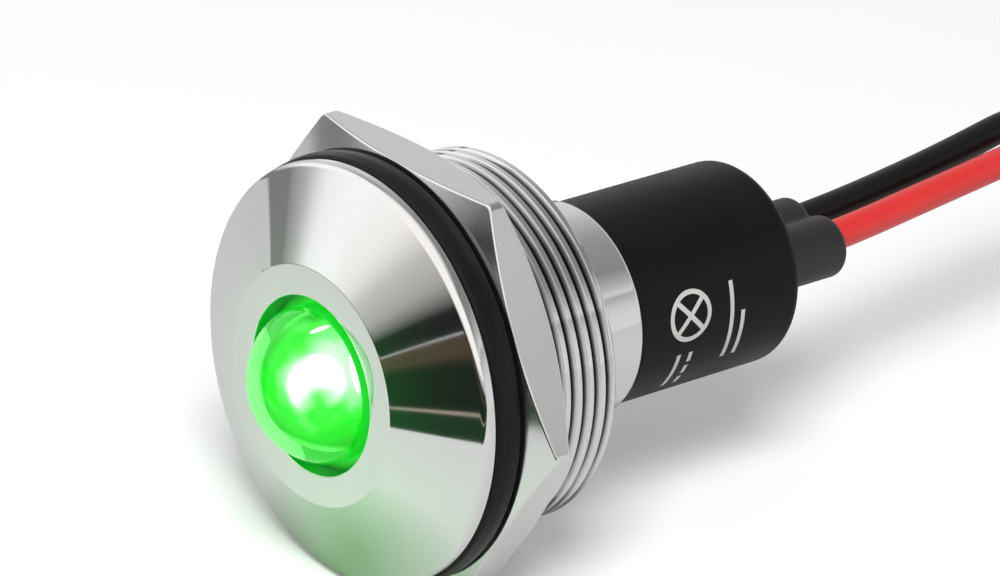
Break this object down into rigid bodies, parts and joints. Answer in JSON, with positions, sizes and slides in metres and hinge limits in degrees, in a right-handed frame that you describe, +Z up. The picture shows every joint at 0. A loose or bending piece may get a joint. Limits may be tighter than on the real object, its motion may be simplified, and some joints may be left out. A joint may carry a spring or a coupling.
{
  "type": "panel pilot light",
  "caption": "Round steel panel pilot light with a clear dome lens, threaded barrel, gasket, hexagon nut, sleeved rear and two coloured leads.",
  "frame": {"origin": "on the lamp's axis, in the plane where the gasket meets the front of the panel", "axes": "+Y along the lamp's axis from the dome to the leads, +Z up, with the lamp lying on the lower flat of its nut"},
  "size_m": [0.0286, 0.0907, 0.022],
  "materials": {
    "housing_steel": "polished turned stainless steel",
    "nut_steel": "smooth machined stainless steel",
    "gasket_rubber": "satin black rubber",
    "lens_clear": "clear polished dome",
    "seal_rubber": "soft black rubber",
    "cup_white": "matt white moulded plastic",
    "board_white": "white solder mask",
    "package_ceramic": "pale ceramic",
    "chip_lit": "lit green",
    "drop_clear": "clear cast resin",
    "carrier_black": "matt black moulded plastic",
    "board_green": "green solder mask",
    "tinned_copper": "bright tinned copper",
    "solder": "bright solder",
    "resistor_black": "matt black body",
    "diode_glass": "dark glazed body",
    "plug_black": "matt black moulded plastic",
    "sleeve_black": "matt black shrunk tube",
    "boot_black": "satin black rubber",
    "wire_red": "satin red insulation",
    "wire_black": "satin black insulation",
    "tie_black": "matt black strap"
  },
  "bodies": {
    "lamp": {"bezel_housing": "housing_steel", "panel_gasket": "gasket_rubber", "lens": "lens_clear", "lens_seal": "seal_rubber", "reflector_cup": "cup_white", "led_board": "board_white", "led_package": "package_ceramic", "led_chips": "chip_lit", "led_drop": "drop_clear", "carrier_tube": "carrier_black", "driver_board": "board_green", "led_lead_positive": "tinned_copper", "led_lead_negative": "tinned_copper", "solder_joints": "solder", "series_resistor": "resistor_black", "polarity_diode": "diode_glass", "rear_plug": "plug_black", "heat_shrink_sleeve": "sleeve_black", "wire_boot": "boot_black", "red_wire": "wire_red", "black_wire": "wire_black", "red_coil": "wire_red", "black_coil": "wire_black", "red_wire_tip": "tinned_copper", "black_wire_tip": "tinned_copper", "coil_tie": "tie_black"},
    "nut": {"hex_nut": "nut_steel"}
  },
  "joints": [
    {"name": "nut_travel", "type": "slide", "parent": "lamp", "child": "nut", "axis": [0, 1, 0], "range_m": [0, 0.0045]}
  ]
}
